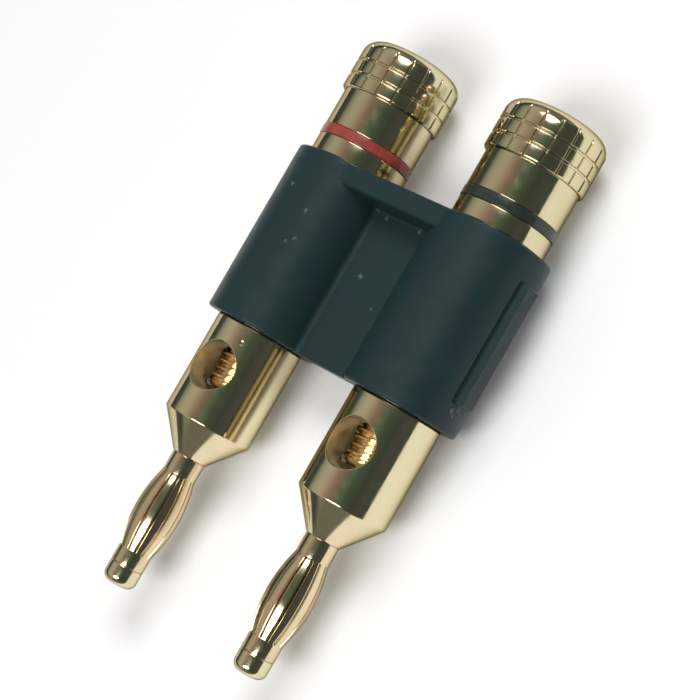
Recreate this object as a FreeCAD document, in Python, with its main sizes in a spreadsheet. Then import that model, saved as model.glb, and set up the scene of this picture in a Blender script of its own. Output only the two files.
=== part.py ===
import FreeCAD, Part
import math
import os
import Sketcher

# Dual banana plug: two turned plugs side by side in one soft joiner block.
# Row frame: X runs from the red plug to the black one, Y along the plugs towards the knobs,
# Z up from the surface that the block's two lobes lie on.
# Each piece is drawn in a plug frame of its own: Y along its axis, 0 at the block's front face.

# Driving sizes, in millimetres
SIZES = {
    "plug_spacing": 19.05,
    "assembly_gap": 0.02,
    "running_gap": 0.05,
    # soft block
    "block_height": 19.15,
    "lobe_dia": 12.5,
    "web_thickness": 3.2,
    "bridge_thickness": 11.0,
    "bridge_height": 2.4,
    "rib_width": 2.2,
    "rib_rise": 0.5,
    "rib_margin": 3.0,
    "block_round": 0.25,
    # turned contact body
    "body_dia": 9.7,
    "body_length": 11.0,
    "shoulder_chamfer": 0.35,
    "cone_length": 3.65,
    "cone_end_dia": 3.8,
    "cone_edge": 0.25,
    "neck_dia": 8.2,
    "neck_groove_depth": 0.5,
    "neck_groove_width": 3.0,
    "wire_hole_dia": 5.3,
    "wire_hole_depth": 5.25,
    "wire_hole_chamfer": 0.12,
    "pin_seat_depth": 4.0,
    # spring sleeve, centre pin and tip
    "collar_dia": 3.6,
    "sleeve_wall": 0.28,
    "rear_collar_length": 2.1,
    "leaf_length": 8.85,
    "bulge_dia": 4.95,
    "slot_width": 0.35,
    "front_collar_length": 1.75,
    "tip_dia": 3.6,
    "tip_length": 2.15,
    "tip_round": 0.9,
    "tip_edge": 0.2,
    # clamp screw
    "stud_dia": 5.0,
    "stud_chamfer": 0.5,
    "stud_reach": 1.55,
    "stud_end_gap": 0.3,
    "stud_seat": 2.6,
    "barrel_dia": 10.3,
    "barrel_length": 7.4,
    "barrel_chamfer": 0.3,
    "ring_width": 1.15,
    "ring_rise": 0.08,
    "ring_seat_depth": 0.5,
    "ring_height": 2.1,
    "head_dia": 11.15,
    "head_length": 5.95,
    "head_chamfer": 0.35,
    "crown_height": 1.45,
    "crown_inset": 1.4,
    "crown_radius": 1.7,
    "band_pitch": 1.6,
    "band_groove_width": 0.3,
    "knurl_depth": 0.25,
    "knurl_width": 0.35,
}

# How often the patterned cuts repeat round a plug
COUNTS = {
    "leaf_count": 14,
    "knurl_count": 19,
}

# Places and radii worked out from the driving sizes
PLACES = {
    "half_spacing": "plug_spacing / 2",
    "rest_height": "max(lobe_dia; head_dia) / 2",
    "middle_shift": "-(head_top + tip_end) / 2",
    # block
    "lobe_rad": "lobe_dia / 2",
    "web_half": "web_thickness / 2",
    "bridge_half": "bridge_thickness / 2",
    "rib_top": "block_height - rib_margin",
    "rib_reach": "half_spacing + lobe_rad + rib_rise",
    "block_bore": "neck_rad + assembly_gap",
    "bead_bore": "neck_groove_rad + assembly_gap",
    "bead_low": "neck_groove_low + assembly_gap",
    "bead_high": "neck_groove_high - assembly_gap",
    # contact body
    "neck_rad": "neck_dia / 2",
    "neck_groove_rad": "neck_rad - neck_groove_depth",
    "neck_groove_low": "(block_height - neck_groove_width) / 2",
    "neck_groove_high": "(block_height + neck_groove_width) / 2",
    "body_rad": "body_dia / 2",
    "shoulder_rad": "body_rad - shoulder_chamfer",
    "shoulder_low": "-shoulder_chamfer",
    "cone_start": "-body_length",
    "cone_edge_low": "cone_start - cone_edge * cone_length / (body_rad - cone_end_rad)",
    "cone_edge_high": "cone_start + cone_edge",
    "cone_edge_rad": "body_rad - cone_edge",
    "cone_end": "-body_length - cone_length",
    "cone_end_rad": "cone_end_dia / 2",
    "wire_hole_rad": "wire_hole_dia / 2",
    "wire_hole_y": "-wire_hole_depth",
    "pin_seat": "cone_end + pin_seat_depth",
    "pin_bore": "pin_rad + assembly_gap",
    # spring sleeve
    "collar_rad": "collar_dia / 2",
    "sleeve_bore": "collar_rad - sleeve_wall",
    "leaf_rear": "cone_end - rear_collar_length",
    "leaf_front": "leaf_rear - leaf_length",
    "sleeve_end": "leaf_front - front_collar_length",
    "bulge_rise": "bulge_dia / 2 - collar_rad",
    "leaf_bow": "(leaf_length ^ 2 / 4 + bulge_rise ^ 2) / (2 * bulge_rise)",
    "slot_reach": "bulge_dia",
    # centre pin
    "pin_rad": "sleeve_bore - assembly_gap",
    "pin_top": "pin_seat - assembly_gap",
    "tip_rad": "tip_dia / 2",
    "tip_edge_rad": "tip_rad - tip_edge",
    "tip_edge_low": "sleeve_end - tip_edge",
    "tip_end": "sleeve_end - tip_length",
    "tip_round_start": "tip_end + tip_round",
    "tip_face_rad": "tip_rad - tip_round",
    # clamp stud
    "stud_rad": "stud_dia / 2",
    "stud_bore": "stud_rad + running_gap",
    "stud_end": "wire_hole_y - stud_reach",
    "stud_bore_end": "stud_end - stud_end_gap",
    "stud_end_rad": "stud_rad - stud_chamfer",
    "stud_chamfer_top": "stud_end + stud_chamfer",
    "stud_top": "head_low + stud_seat",
    "stud_seat_top": "stud_top + running_gap",
    # clamp knob
    "barrel_rad": "barrel_dia / 2",
    "barrel_foot_rad": "barrel_rad - barrel_chamfer",
    "barrel_foot": "block_height + barrel_chamfer",
    "ring_low": "block_height + ring_height",
    "ring_high": "ring_low + ring_width",
    "ring_seat_rad": "barrel_rad - ring_seat_depth",
    "head_low": "block_height + barrel_length",
    "head_rad": "head_dia / 2",
    "head_foot_rad": "head_rad - head_chamfer",
    "head_foot": "head_low + head_chamfer",
    "head_top": "head_low + head_length",
    "crown_low": "head_top - crown_height",
    "crown_rad": "head_rad - crown_inset",
    "knurl_floor": "head_rad - knurl_depth",
    "knurl_reach": "head_rad + knurl_depth",
    "band_1_low": "head_low + band_pitch - band_groove_width / 2",
    "band_1_high": "head_low + band_pitch + band_groove_width / 2",
    "band_2_low": "head_low + 2 * band_pitch - band_groove_width / 2",
    "band_2_high": "head_low + 2 * band_pitch + band_groove_width / 2",
    # marking ring
    "ring_rad": "barrel_rad + ring_rise",
    "ring_bore": "ring_seat_rad + assembly_gap",
    "ring_foot": "ring_low + assembly_gap",
    "ring_lid": "ring_high - assembly_gap",
}

# A full circle, in degrees
FULL_TURN = 360

# How near an edge has to lie to a face to count as on it, in millimetres
ON_FACE = 0.01

doc = FreeCAD.newDocument("DualBananaPlug")
sheet = doc.addObject("Spreadsheet::Sheet", "Sizes")


def fill_sheet():
    """Name and value or formula, one row each, with the value's cell under that name."""
    rows = {**SIZES, **COUNTS, **{name: "=" + formula for name, formula in PLACES.items()}}
    for row, name in enumerate(rows, start=1):
        sheet.set(f"A{row}", name)
        sheet.setAlias(f"B{row}", name)
    for row, content in enumerate(rows.values(), start=1):
        sheet.set(f"B{row}", str(content))
    doc.recompute()


def value(name):
    """Current number of a named cell; 0 stands for the axis, and a minus sign mirrors."""
    if name == 0:
        return 0.0
    sign = -1 if name.startswith("-") else 1
    return sign * float(sheet.get(name.lstrip("-")))


def bind(target, path, name):
    """Tie one property or constraint to a named cell."""
    sign = "-" if name.startswith("-") else ""
    target.setExpression(path, f"{sign}Sizes.{name.lstrip('-')}")


def new_body(label, side=0):
    """An empty body on the red plug's axis (side -1), the black one's (1) or between them."""
    body = doc.addObject("PartDesign::Body", label)
    body.Label = label
    if side:
        bind(body, "Placement.Base.x", "half_spacing" if side > 0 else "-half_spacing")
    bind(body, "Placement.Base.y", "middle_shift")
    bind(body, "Placement.Base.z", "rest_height")
    return body


def origin_feature(body, role):
    """The body's own base plane or axis."""
    return next(f for f in body.Origin.OriginFeatures if f.Role == role)


def new_sketch(body, name, role):
    """An empty sketch on one of the body's own base planes."""
    sketch = body.newObject("Sketcher::SketchObject", name)
    sketch.AttachmentSupport = (origin_feature(body, role), [""])
    sketch.MapMode = "FlatFace"
    return sketch


def pin_point(sketch, edge, end, name_x, name_y):
    """Fix one end of an edge at a named place."""
    for kind, name, axis in (("DistanceX", name_x, -2), ("DistanceY", name_y, -1)):
        if name == 0:
            sketch.addConstraint(Sketcher.Constraint("PointOnObject", edge, end, axis))
            continue
        number = sketch.addConstraint(Sketcher.Constraint(kind, -1, 1, edge, end, value(name)))
        bind(sketch, f"Constraints[{number}]", name)


def arc_through(start, end, radius, side):
    """The short arc from start to end; side 1 bows it to the left of the way there, -1 right."""
    chord = end - start
    middle = (start + end) * 0.5
    left = FreeCAD.Vector(-chord.y, chord.x, 0).normalize()
    to_centre = math.sqrt(radius ** 2 - chord.Length ** 2 / 4)
    centre = middle - left * (side * to_centre)
    first, last = (end, start) if side > 0 else (start, end)
    angles = [math.atan2(p.y - centre.y, p.x - centre.x) for p in (first, last)]
    circle = Part.Circle(centre, FreeCAD.Vector(0, 0, 1), radius)
    return Part.ArcOfCircle(circle, angles[0], angles[1])


def closed_profile(sketch, corners, arcs=None):
    """A closed outline through named places; arcs maps a corner to its arc's radius and side."""
    arcs = arcs or {}
    points = [FreeCAD.Vector(value(x), value(y), 0) for x, y in corners]
    ends = []
    for i, start in enumerate(points):
        stop = points[(i + 1) % len(points)]
        if i in arcs:
            radius, side = arcs[i]
            sketch.addGeometry(arc_through(start, stop, value(radius), side))
            ends.append((2, 1) if side > 0 else (1, 2))
        else:
            sketch.addGeometry(Part.LineSegment(start, stop))
            ends.append((1, 2))
    for i, (x, y) in enumerate(corners):
        after = (i + 1) % len(corners)
        sketch.addConstraint(Sketcher.Constraint("Coincident", i, ends[i][1], after, ends[after][0]))
        pin_point(sketch, i, ends[i][0], x, y)
    for i, (radius, side) in arcs.items():
        number = sketch.addConstraint(Sketcher.Constraint("Radius", i, value(radius)))
        bind(sketch, f"Constraints[{number}]", radius)


def rectangle(sketch, x0, x1, y0, y1):
    """A rectangle between four named places."""
    closed_profile(sketch, [(x0, y0), (x1, y0), (x1, y1), (x0, y1)])


def circle(sketch, x, y, radius):
    """A circle round a named place."""
    centre = FreeCAD.Vector(value(x), value(y), 0)
    edge = sketch.addGeometry(Part.Circle(centre, FreeCAD.Vector(0, 0, 1), value(radius)))
    pin_point(sketch, edge, 3, x, y)
    number = sketch.addConstraint(Sketcher.Constraint("Radius", edge, value(radius)))
    bind(sketch, f"Constraints[{number}]", radius)


def turn(body, corners, arcs=None):
    """A turned piece: an outline in radius and height, swept round the plug's axis."""
    sketch = new_sketch(body, body.Label + "_outline", "XY_Plane")
    closed_profile(sketch, corners, arcs)
    turned = body.newObject("PartDesign::Revolution", body.Label + "_turned")
    turned.Profile = sketch
    turned.ReferenceAxis = (sketch, ["V_Axis"])
    turned.Angle = FULL_TURN
    doc.recompute()
    return turned


def pad_across(body, sketch, thickness):
    """Pad a sketch on the XY plane, half of the named thickness to each side."""
    pad = body.newObject("PartDesign::Pad", sketch.Name + "_pad")
    pad.Profile = sketch
    pad.Midplane = True
    bind(pad, "Length", thickness)
    doc.recompute()
    return pad


def pad_along(body, sketch, length, to_knobs=True):
    """Pad a sketch on the XZ plane by a named length, towards the knobs or towards the tips."""
    pad = body.newObject("PartDesign::Pad", sketch.Name + "_pad")
    pad.Profile = sketch
    pad.Reversed = to_knobs
    bind(pad, "Length", length)
    doc.recompute()
    return pad


def repeat_round(body, feature, count):
    """Repeat a cut round the plug's axis, a named number of times."""
    pattern = body.newObject("PartDesign::PolarPattern", feature.Name + "_round")
    pattern.Originals = [feature]
    pattern.Axis = (origin_feature(body, "Y_Axis"), [""])
    pattern.Angle = FULL_TURN
    bind(pattern, "Occurrences", count)
    body.Tip = pattern
    doc.recompute()
    return pattern


def edges_where(feature, test):
    """Names of the feature's edges that pass a test."""
    return [f"Edge{i}" for i, edge in enumerate(feature.Shape.Edges, start=1) if test(edge)]


def cross_cut(body, sketch):
    """Cut a sketch on the XY plane right through, to both sides."""
    cut = body.newObject("PartDesign::Pocket", sketch.Name + "_cut")
    cut.Profile = sketch
    cut.Type = "ThroughAll"
    cut.Midplane = True
    doc.recompute()
    return cut


def make_joiner_block():
    """The soft block: two lobes, a thin web, a thick bridge at the knob end and one rib."""
    body = new_body("joiner_block")
    web = new_sketch(body, "web", "XZ_Plane")
    rectangle(web, "-half_spacing", "half_spacing", "-web_half", "web_half")
    pad_along(body, web, "block_height")
    lobes = new_sketch(body, "lobes", "XZ_Plane")
    circle(lobes, "-half_spacing", 0, "lobe_rad")
    circle(lobes, "half_spacing", 0, "lobe_rad")
    pad_along(body, lobes, "block_height")
    bridge = new_sketch(body, "bridge", "XZ_Plane")
    bind(bridge, "AttachmentOffset.Base.z", "-block_height")
    rectangle(bridge, "-half_spacing", "half_spacing", "-bridge_half", "bridge_half")
    pad_along(body, bridge, "bridge_height", to_knobs=False)
    rib = new_sketch(body, "polarity_rib", "XY_Plane")
    rectangle(rib, "half_spacing", "rib_reach", "rib_margin", "rib_top")
    rib_pad = pad_across(body, rib, "rib_width")
    soften_block(body, rib_pad)
    bore_block(body)
    return body


def soften_block(body, feature):
    """Round the block's end rims, the way a soft moulding comes out."""
    ends = (0.0, value("block_height"))

    def on_end_rim(edge):
        return any(all(abs(v.Y - end) < ON_FACE for v in edge.Vertexes) for end in ends)

    rounded = body.newObject("PartDesign::Fillet", "soft_rims")
    rounded.Base = (feature, edges_where(feature, on_end_rim))
    bind(rounded, "Radius", "block_round")
    doc.recompute()


def bore_block(body):
    """The two bores that hold the plugs' necks, each with a bead in the neck's groove."""
    bore = new_sketch(body, "bore", "XY_Plane")
    bind(bore, "AttachmentOffset.Base.x", "half_spacing")
    closed_profile(bore, [
        (0, 0),
        ("block_bore", 0),
        ("block_bore", "bead_low"),
        ("bead_bore", "bead_low"),
        ("bead_bore", "bead_high"),
        ("block_bore", "bead_high"),
        ("block_bore", "block_height"),
        (0, "block_height"),
    ])
    bored = body.newObject("PartDesign::Groove", "bored")
    bored.Profile = bore
    bored.ReferenceAxis = (bore, ["V_Axis"])
    bored.Angle = FULL_TURN
    mirrored = body.newObject("PartDesign::Mirrored", "bored_both")
    mirrored.Originals = [bored]
    mirrored.MirrorPlane = (origin_feature(body, "YZ_Plane"), [""])
    body.Tip = mirrored
    doc.recompute()


def make_contact_body(colour, side):
    """The turned body: neck through the block, cylinder with the wire hole, and nose cone.

    The screw's bore runs from the neck's end to just past the screw, below the wire hole's axis.
    """
    body = new_body(colour + "_contact_body", side)
    turn(body, [
        ("stud_bore", "block_height"),
        ("neck_rad", "block_height"),
        ("neck_rad", "neck_groove_high"),
        ("neck_groove_rad", "neck_groove_high"),
        ("neck_groove_rad", "neck_groove_low"),
        ("neck_rad", "neck_groove_low"),
        ("neck_rad", 0),
        ("shoulder_rad", 0),
        ("body_rad", "shoulder_low"),
        ("body_rad", "cone_edge_high"),
        ("cone_edge_rad", "cone_edge_low"),
        ("cone_end_rad", "cone_end"),
        ("pin_bore", "cone_end"),
        ("pin_bore", "pin_seat"),
        (0, "pin_seat"),
        (0, "stud_bore_end"),
        ("stud_bore", "stud_bore_end"),
    ])
    hole = new_sketch(body, body.Label + "_wire_hole", "XY_Plane")
    circle(hole, 0, "wire_hole_y", "wire_hole_rad")
    drilled = cross_cut(body, hole)
    rim = body.newObject("PartDesign::Chamfer", body.Label + "_rim")
    rim.Base = (drilled, edges_where(drilled, is_hole_rim))
    bind(rim, "Size", "wire_hole_chamfer")
    doc.recompute()
    return body


def is_hole_rim(edge):
    """An edge where the wire hole comes out of the body's side."""
    points = [vertex.Point for vertex in edge.Vertexes]
    points.append(edge.valueAt((edge.FirstParameter + edge.LastParameter) / 2))
    hole_y, hole_rad, body_rad = value("wire_hole_y"), value("wire_hole_rad"), value("body_rad")
    in_hole = all(abs(math.hypot(p.x, p.y - hole_y) - hole_rad) < ON_FACE for p in points)
    on_side = all(abs(math.hypot(p.x, p.z) - body_rad) < ON_FACE for p in points)
    return in_hole and on_side


def make_contact_spring(colour, side):
    """The sleeve on the pin: a collar at each end and a cage of bowed leaves between."""
    body = new_body(colour + "_contact_spring", side)
    turn(body, [
        ("sleeve_bore", "cone_end"),
        ("collar_rad", "cone_end"),
        ("collar_rad", "leaf_rear"),
        ("collar_rad", "leaf_front"),
        ("collar_rad", "sleeve_end"),
        ("sleeve_bore", "sleeve_end"),
        ("sleeve_bore", "leaf_front"),
        ("sleeve_bore", "leaf_rear"),
    ], arcs={2: ("leaf_bow", 1), 6: ("leaf_bow", -1)})
    slot = new_sketch(body, body.Label + "_slot", "XY_Plane")
    rectangle(slot, 0, "slot_reach", "leaf_front", "leaf_rear")
    cut = body.newObject("PartDesign::Pocket", body.Label + "_slot_cut")
    cut.Profile = slot
    cut.Midplane = True
    bind(cut, "Length", "slot_width")
    doc.recompute()
    repeat_round(body, cut, "leaf_count")
    return body


def make_centre_pin(colour, side):
    """The rod through the sleeve, with the button that keeps the sleeve on."""
    body = new_body(colour + "_centre_pin", side)
    turn(body, [
        (0, "pin_top"),
        ("pin_rad", "pin_top"),
        ("pin_rad", "sleeve_end"),
        ("tip_edge_rad", "sleeve_end"),
        ("tip_rad", "tip_edge_low"),
        ("tip_rad", "tip_round_start"),
        ("tip_face_rad", "tip_end"),
        (0, "tip_end"),
    ], arcs={5: ("tip_round", 1)})
    return body


def make_clamp_stud(colour, side):
    """The screw's rod: it runs down the neck and crosses the wire hole."""
    body = new_body(colour + "_clamp_stud", side)
    turn(body, [
        (0, "stud_end"),
        ("stud_end_rad", "stud_end"),
        ("stud_rad", "stud_chamfer_top"),
        ("stud_rad", "stud_top"),
        (0, "stud_top"),
    ])
    return body


def make_clamp_knob(colour, side):
    """The screw's knob: a plain barrel with a ring seat, and a head cut into square pads."""
    body = new_body(colour + "_clamp_knob", side)
    turn(body, [
        ("stud_bore", "block_height"),
        ("barrel_foot_rad", "block_height"),
        ("barrel_rad", "barrel_foot"),
        ("barrel_rad", "ring_low"),
        ("ring_seat_rad", "ring_low"),
        ("ring_seat_rad", "ring_high"),
        ("barrel_rad", "ring_high"),
        ("barrel_rad", "head_low"),
        ("head_foot_rad", "head_low"),
        ("head_rad", "head_foot"),
        ("head_rad", "band_1_low"),
        ("knurl_floor", "band_1_low"),
        ("knurl_floor", "band_1_high"),
        ("head_rad", "band_1_high"),
        ("head_rad", "band_2_low"),
        ("knurl_floor", "band_2_low"),
        ("knurl_floor", "band_2_high"),
        ("head_rad", "band_2_high"),
        ("head_rad", "crown_low"),
        ("crown_rad", "head_top"),
        (0, "head_top"),
        (0, "stud_seat_top"),
        ("stud_bore", "stud_seat_top"),
    ], arcs={18: ("crown_radius", -1)})
    groove = new_sketch(body, body.Label + "_knurl", "XY_Plane")
    rectangle(groove, "knurl_floor", "knurl_reach", "head_low", "head_top")
    cut = body.newObject("PartDesign::Pocket", body.Label + "_knurl_cut")
    cut.Profile = groove
    cut.Midplane = True
    bind(cut, "Length", "knurl_width")
    doc.recompute()
    repeat_round(body, cut, "knurl_count")
    return body


def make_marking_ring(colour, side):
    """The colour ring in the barrel's seat, a hair proud of the barrel."""
    body = new_body(colour + "_marking_ring", side)
    turn(body, [
        ("ring_bore", "ring_foot"),
        ("ring_rad", "ring_foot"),
        ("ring_rad", "ring_lid"),
        ("ring_bore", "ring_lid"),
    ])
    return body


PLUG_PIECES = (
    make_contact_body,
    make_contact_spring,
    make_centre_pin,
    make_clamp_stud,
    make_clamp_knob,
    make_marking_ring,
)

fill_sheet()
bodies = [make_joiner_block()]
for colour, side in (("red", -1), ("black", 1)):
    for make in PLUG_PIECES:
        bodies.append(make(colour, side))
doc.recompute()

faults = [f"{item.Label}: {item.State}" for item in doc.Objects
          if "Invalid" in item.State or "Error" in item.State]
for body in bodies:
    if body.Shape.isNull() or not body.Shape.isValid() or len(body.Shape.Solids) != 1:
        faults.append(f"{body.Label}: bad shape")
if faults:
    raise RuntimeError("; ".join(faults))

os.makedirs("parts", exist_ok=True)
for body in bodies:
    body.Shape.exportStep(f"parts/{body.Label}.step")
    print(f"{body.Label}: {body.Shape.Volume:.2f} mm3")
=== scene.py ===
import math

import bmesh
import bpy
from mathutils import Matrix, Vector, noise


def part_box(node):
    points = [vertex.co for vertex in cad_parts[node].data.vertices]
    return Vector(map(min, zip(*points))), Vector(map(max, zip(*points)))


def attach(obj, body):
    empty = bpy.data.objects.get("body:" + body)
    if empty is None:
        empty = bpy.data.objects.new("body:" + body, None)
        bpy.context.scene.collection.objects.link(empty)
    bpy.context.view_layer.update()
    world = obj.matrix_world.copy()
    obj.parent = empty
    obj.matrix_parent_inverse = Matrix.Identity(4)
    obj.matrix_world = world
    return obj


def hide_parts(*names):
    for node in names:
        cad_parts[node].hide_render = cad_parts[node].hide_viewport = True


# Dual banana plug on a white table: gilt turned plugs, a soft black block and two colour rings.
# Pieces are placed in metres in the row frame. Detail sizes are written in millimetres.
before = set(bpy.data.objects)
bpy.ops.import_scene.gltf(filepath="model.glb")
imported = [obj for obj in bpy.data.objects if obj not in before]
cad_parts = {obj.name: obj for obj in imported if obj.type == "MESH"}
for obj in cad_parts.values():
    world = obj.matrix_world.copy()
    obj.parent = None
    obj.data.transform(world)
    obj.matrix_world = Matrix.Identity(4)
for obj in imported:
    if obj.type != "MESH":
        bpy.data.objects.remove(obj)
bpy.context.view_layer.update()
MM = 0.001

# Where the photograph was taken from, in millimetres and radians: tilted to the black plug's
# side and rolled against the plugs
VIEW_TILT = math.radians(34.51)
VIEW_PITCH = math.radians(3.06)
VIEW_ROLL = math.radians(29.9)
VIEW_DISTANCE = 183.5
VIEW_SIDE_SHIFT = 0.94
VIEW_FROM_BLOCK_FACE = -6.9
FOCAL_PIXELS = 1831.6
IMAGE_PIXELS = 700
SENSOR_WIDTH = 36
# The nearest and farthest that the camera sees, in metres
CLIP_START = 0.01
CLIP_END = 20

# Fineness of the turned surfaces, and the angle from which an edge shades crisp
TURN_STEPS = 256
ROUND_STEPS = 5
SHARP_ANGLE = math.radians(38)

# Rounding of corners that hardly show
TINY_ROUND = 0.02
SMALL_ROUND = 0.05

# Soft block
WEB_THICKNESS = 3.2
BRIDGE_THICKNESS = 11.0
BRIDGE_HEIGHT = 2.4
BRIDGE_DRAFT = 0.12
BRIDGE_EDGE = 0.45
BRIDGE_FILLET = 0.3
CREASE_ROUND = 0.7
RIM_ROUND = 0.3
MOUTH_WIDTH = 0.15
MOUTH_DEPTH = 0.05
RIB_WIDTH = 2.2
RIB_RISE = 0.5
RIB_MARGIN = 3.0
RIB_SOFTNESS = 0.26
RIB_WEAR = 0.05
RIB_WEAR_LENGTH = 3.0
RIB_GROOVE_DEPTH = 0.2
RIB_GROOVE_WIDTH = 0.8
SINK_DEPTH = 0.03
SINK_SIZE = 4.0
NECK_GROOVE_DEPTH = 0.5
NECK_GROOVE_WIDTH = 3.0
ASSEMBLY_GAP = 0.02

# How close the block's contours and their points stand
EVEN_LEVELS = 64
LEAST_LEVEL_GAP = 0.008
ARC_LEVELS = 6
DRAFT_LEVELS = 5
COARSE_DEGREES = 2.5
FINE_DEGREES = 0.625
FINE_BELOW = 22.5
# Where each stretch of points from a lobe's axis towards the middle starts, and its count
OFF_AXIS_STRETCHES = ((0, 7), (2.1, 18), (4.1, 8), (5.6, 26), (6.9, 6))

# Turned body
NECK_DIA = 8.2
SHOULDER_ROUND = 0.28
BODY_LENGTH = 11.0
CONE_EDGE = 0.3
CONE_END_DIA = 3.8
CONE_END_ROUND = 0.12
WIRE_HOLE_DIA = 5.3
WIRE_HOLE_DEPTH = 5.25
WIRE_HOLE_EDGE = 0.12
WIRE_HOLE_STEPS = 144
DRILL_FLARE = 0.3
DRILL_OVERSHOOT = 1
ON_SURFACE = 0.004
STUD_BORE_GAP = 0.05
STUD_END_GAP = 0.3

# Spring, pin and tip
COLLAR_DIA = 3.6
SLEEVE_WALL = 0.28
SLEEVE_EDGE = 0.08
SLEEVE_BORE_EDGE = 0.04
REAR_COLLAR_LENGTH = 2.1
LEAF_LENGTH = 8.85
LEAF_COUNT = 14
SLOT_WIDTH = 0.2
LEAF_EDGE = 0.07
LEAF_CORNER_SHARE = 0.3
LEAF_ROOT = 0.12
LEAF_INSET = 0.003
LEAF_STEPS = 40
ROD_END_ROUND = 0.1
TIP_ROUND = 0.9
TIP_EDGE = 0.16
TIP_STEPS = 12

# Clamp screw
THREAD_PITCH = 0.8
THREAD_DEPTH = 0.4
CREST_SHARE = 0.14
ROOT_SHARE = 0.86
THREAD_STEPS = 96
THREAD_ROWS = 14
STUD_CHAMFER = 0.5
BARREL_DIA = 10.3
BARREL_LENGTH = 7.4
BARREL_EDGE = 0.27
KNOB_BORE_EDGE = 0.1
RING_SEAT_DEPTH = 0.5
RING_SEAT_EDGE = 0.09
RING_EDGE = 0.12
RING_BORE_EDGE = 0.03
HEAD_EDGE = 0.32
CROWN_HEIGHT = 1.45
CROWN_INSET = 1.4
CROWN_RADIUS = 1.7
CROWN_STEPS = 14
BAND_PITCH = 1.6
BAND_GROOVE_WIDTH = 0.25
BAND_SLOPE = 0.04
PAD_EDGE = 0.05

# Lengthwise grooves of the head, and the points across one, from its edge
KNURL_COUNT = 19
KNURL_DEPTH = 0.18
KNURL_WIDTH = 0.25
KNURL_WALL = 0.07
KNURL_WALL_FOOT = 0.03
KNURL_BLEND = 0.03
KNURL_POINTS = (-0.06, -0.02, 0.01, 0.04, 0.08, 0.14)
PAD_STEPS = 7
HEAD_MARGIN = 0.01


def plug_frame(colour):
    """A plug's own frame: Y along its axis, from the block's front face."""
    low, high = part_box(colour + "_clamp_stud")
    block_low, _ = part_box("joiner_block")
    return Matrix.Translation(((low.x + high.x) / 2, block_low.y, (low.z + high.z) / 2))


def reach(node):
    """A node's radius round its plug's axis and its low and high end along it, in millimetres."""
    low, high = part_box(node)
    block_low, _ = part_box("joiner_block")
    radius = (high.x - low.x) / 2
    return radius / MM, (low.y - block_low.y) / MM, (high.y - block_low.y) / MM


def smooth_step(share):
    """0 below 0, 1 above 1 and a soft change between."""
    share = min(1, max(0, share))
    return share * share * (3 - 2 * share)


def smooth_least(a, b, blend):
    """The smaller of two lengths with a soft change over a blend length."""
    share = max(0, blend - abs(a - b)) / blend
    return min(a, b) - share * share * blend / 4


def turned_vector(arm, angle):
    """A flat vector turned by an angle."""
    return Matrix.Rotation(angle, 2) @ arm


def rounded(corners, steps=ROUND_STEPS):
    """Outline points through (radius, height, rounding) corners, in millimetres."""
    points = []
    for i, (radius, height, rounding) in enumerate(corners):
        here = Vector((radius, height))
        if rounding == 0:
            points.append(here)
            continue
        back = (Vector(corners[i - 1][:2]) - here).normalized()
        ahead = (Vector(corners[(i + 1) % len(corners)][:2]) - here).normalized()
        half = back.angle(ahead) / 2
        centre = here + (back + ahead).normalized() * (rounding / math.sin(half))
        first = here + back * (rounding / math.tan(half)) - centre
        last = here + ahead * (rounding / math.tan(half)) - centre
        swing = first.angle_signed(last)
        for k in range(steps + 1):
            points.append(centre + turned_vector(first, -swing * k / steps))
    return points


def arc_corners(start, end, radius, steps):
    """Plain corners on an arc of a radius from start to end that bows away from the axis."""
    start, end = Vector(start), Vector(end)
    half_chord = (end - start).length / 2
    inward = Vector((start.y - end.y, end.x - start.x)).normalized()
    centre = (start + end) / 2 + inward * math.sqrt(radius ** 2 - half_chord ** 2)
    first = start - centre
    swing = first.angle_signed(end - centre)
    points = [centre + turned_vector(first, -swing * k / steps) for k in range(steps + 1)]
    return [(p.x, p.y, 0) for p in points]


def even_angles(steps):
    """Equally spaced angles round a full turn."""
    return [math.tau * k / steps for k in range(steps)]


def turned_ring(bm, radii, heights, angles):
    """A ring of vertices round the Y axis, in millimetres."""
    return [bm.verts.new((r * math.cos(a) * MM, y * MM, -r * math.sin(a) * MM))
            for r, y, a in zip(radii, heights, angles)]


def join_rings(bm, rings, closed=False):
    """Faces between neighbouring rings; a ring of one vertex closes an end."""
    pairs = list(zip(rings, rings[1:]))
    if closed:
        pairs.append((rings[-1], rings[0]))
    for upper, lower in pairs:
        count = max(len(upper), len(lower))
        for k in range(count):
            after = (k + 1) % count
            corners = [upper[k % len(upper)], upper[after % len(upper)],
                       lower[after % len(lower)], lower[k % len(lower)]]
            corners = list(dict.fromkeys(corners))
            if len(corners) > 2:
                bm.faces.new(corners)


def lathe(bm, outline, angles, radius_at=None, closed=False):
    """Sweep an outline round the Y axis into bm; radius_at may change a point's radius."""
    rings = []
    for point in outline:
        if point.x < MM * MM:
            rings.append([bm.verts.new((0, point.y * MM, 0))])
            continue
        radii = [radius_at(point, a) if radius_at else point.x for a in angles]
        rings.append(turned_ring(bm, radii, [point.y] * len(angles), angles))
    join_rings(bm, rings, closed)


def new_piece(name, bm, place, material):
    """An object from a bmesh drawn in a plug's frame, with smooth faces and crisp edges."""
    bmesh.ops.recalc_face_normals(bm, faces=bm.faces)
    mesh = bpy.data.meshes.new(name)
    bm.to_mesh(mesh)
    bm.free()
    piece = bpy.data.objects.new(name, mesh)
    bpy.context.scene.collection.objects.link(piece)
    mesh.transform(place)
    smooth_faces(mesh)
    mesh.materials.append(material)
    weighted = piece.modifiers.new("even_shading", "WEIGHTED_NORMAL")
    weighted.keep_sharp = True
    return piece


def smooth_faces(mesh):
    """Smooth shading with a break at every real edge."""
    mesh.polygons.foreach_set("use_smooth", [True] * len(mesh.polygons))
    mesh.set_sharp_from_angle(angle=SHARP_ANGLE)


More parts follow.
